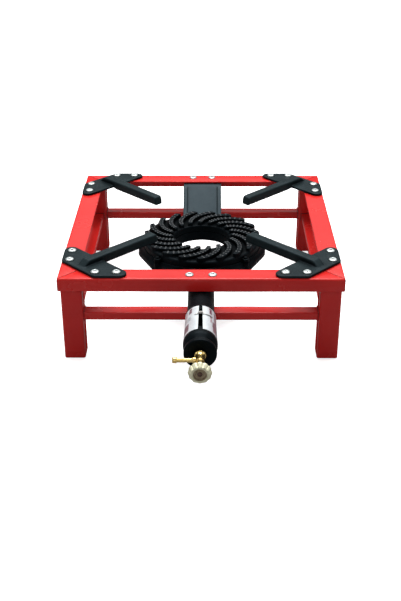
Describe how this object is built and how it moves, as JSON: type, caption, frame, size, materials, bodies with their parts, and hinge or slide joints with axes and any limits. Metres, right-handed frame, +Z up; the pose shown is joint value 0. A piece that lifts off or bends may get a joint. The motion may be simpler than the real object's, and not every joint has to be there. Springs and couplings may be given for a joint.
{
  "type": "propane burner stand",
  "caption": "Low square steel stand with tube legs, cast pan-support bars and a ring gas burner whose long mixing tube carries an air shutter and a brass needle valve.",
  "frame": {"origin": "on the floor, under the middle of the whole object's footprint, which is 93.5 mm in front of the burner ring's centre", "axes": "+Z up; +Y runs from the valve towards the ring and the back of the stand; +X to the user's right"},
  "size_m": [0.4, 0.587, 0.1425],
  "materials": {
    "red_paint": "glossy red paint on steel angle and tube",
    "charcoal_cast_iron": "charcoal coated iron casting with a fine grain",
    "black_cast_iron": "black coated iron casting, satin",
    "dark_grey_paint": "dark grey satin paint on pressed steel",
    "zinc_steel": "bright zinc-plated steel",
    "bright_sheet": "bright thin sheet with faded printed colour patches",
    "brass": "turned brass, lightly tarnished on the hand wheel",
    "white_packing": "white gland packing"
  },
  "bodies": {
    "stand": {"burner_body": "black_cast_iron", "burner_cap": "black_cast_iron", "cap_screw_back_left": "black_cast_iron", "cap_screw_back_right": "black_cast_iron", "cap_screw_front_left": "black_cast_iron", "cap_screw_front_right": "black_cast_iron", "gland_nut": "brass", "hose_nozzle": "brass", "injector_jet": "brass", "leg_back_left": "red_paint", "leg_back_right": "red_paint", "leg_front_left": "red_paint", "leg_front_right": "red_paint", "lower_rail_back": "red_paint", "lower_rail_front": "red_paint", "lower_rail_left": "red_paint", "lower_rail_right": "red_paint", "pan_support_back_left": "charcoal_cast_iron", "pan_support_back_right": "charcoal_cast_iron", "pan_support_front_left": "charcoal_cast_iron", "pan_support_front_right": "charcoal_cast_iron", "rail_bolt_back_left": "zinc_steel", "rail_bolt_back_right": "zinc_steel", "rail_bolt_front_left": "zinc_steel", "rail_bolt_front_right": "zinc_steel", "rail_nut_back_left": "zinc_steel", "rail_nut_back_right": "zinc_steel", "rail_nut_front_left": "zinc_steel", "rail_nut_front_right": "zinc_steel", "rear_plate_screw_left": "zinc_steel", "rear_plate_screw_right": "zinc_steel", "rear_support_plate": "dark_grey_paint", "rivet_back_1": "zinc_steel", "rivet_back_2": "zinc_steel", "rivet_back_3": "zinc_steel", "rivet_back_4": "zinc_steel", "rivet_front_1": "zinc_steel", "rivet_front_2": "zinc_steel", "rivet_front_3": "zinc_steel", "rivet_front_4": "zinc_steel", "rivet_left_1": "zinc_steel", "rivet_left_2": "zinc_steel", "rivet_left_3": "zinc_steel", "rivet_left_4": "zinc_steel", "rivet_right_1": "zinc_steel", "rivet_right_2": "zinc_steel", "rivet_right_3": "zinc_steel", "rivet_right_4": "zinc_steel", "stem_seal": "white_packing", "top_rail_back": "red_paint", "top_rail_front": "red_paint", "top_rail_left": "red_paint", "top_rail_right": "red_paint", "valve_body": "brass"},
    "air_shutter": {"air_shutter": "bright_sheet", "shutter_spring": "zinc_steel"},
    "valve_spindle": {"valve_spindle": "brass"},
    "knob": {"knob": "brass", "knob_screw": "zinc_steel"}
  },
  "joints": [
    {"name": "shutter_turn", "type": "hinge", "parent": "stand", "child": "air_shutter", "pos_m": [0, -0.18275, 0.091], "axis": [0, -1, 0], "range_deg": [-60, 60]},
    {"name": "spindle_travel", "type": "slide", "parent": "stand", "child": "valve_spindle", "axis": [0, -1, 0], "range_m": [0, 0.0015]},
    {"name": "knob_turn", "type": "hinge", "parent": "valve_spindle", "child": "knob", "pos_m": [0, -0.286, 0.091], "axis": [0, -1, 0], "range_deg": [0, 540]}
  ],
  "couplings": [
    {"joint": "knob_turn", "follows": "spindle_travel", "rad_per_m": 6283}
  ]
}
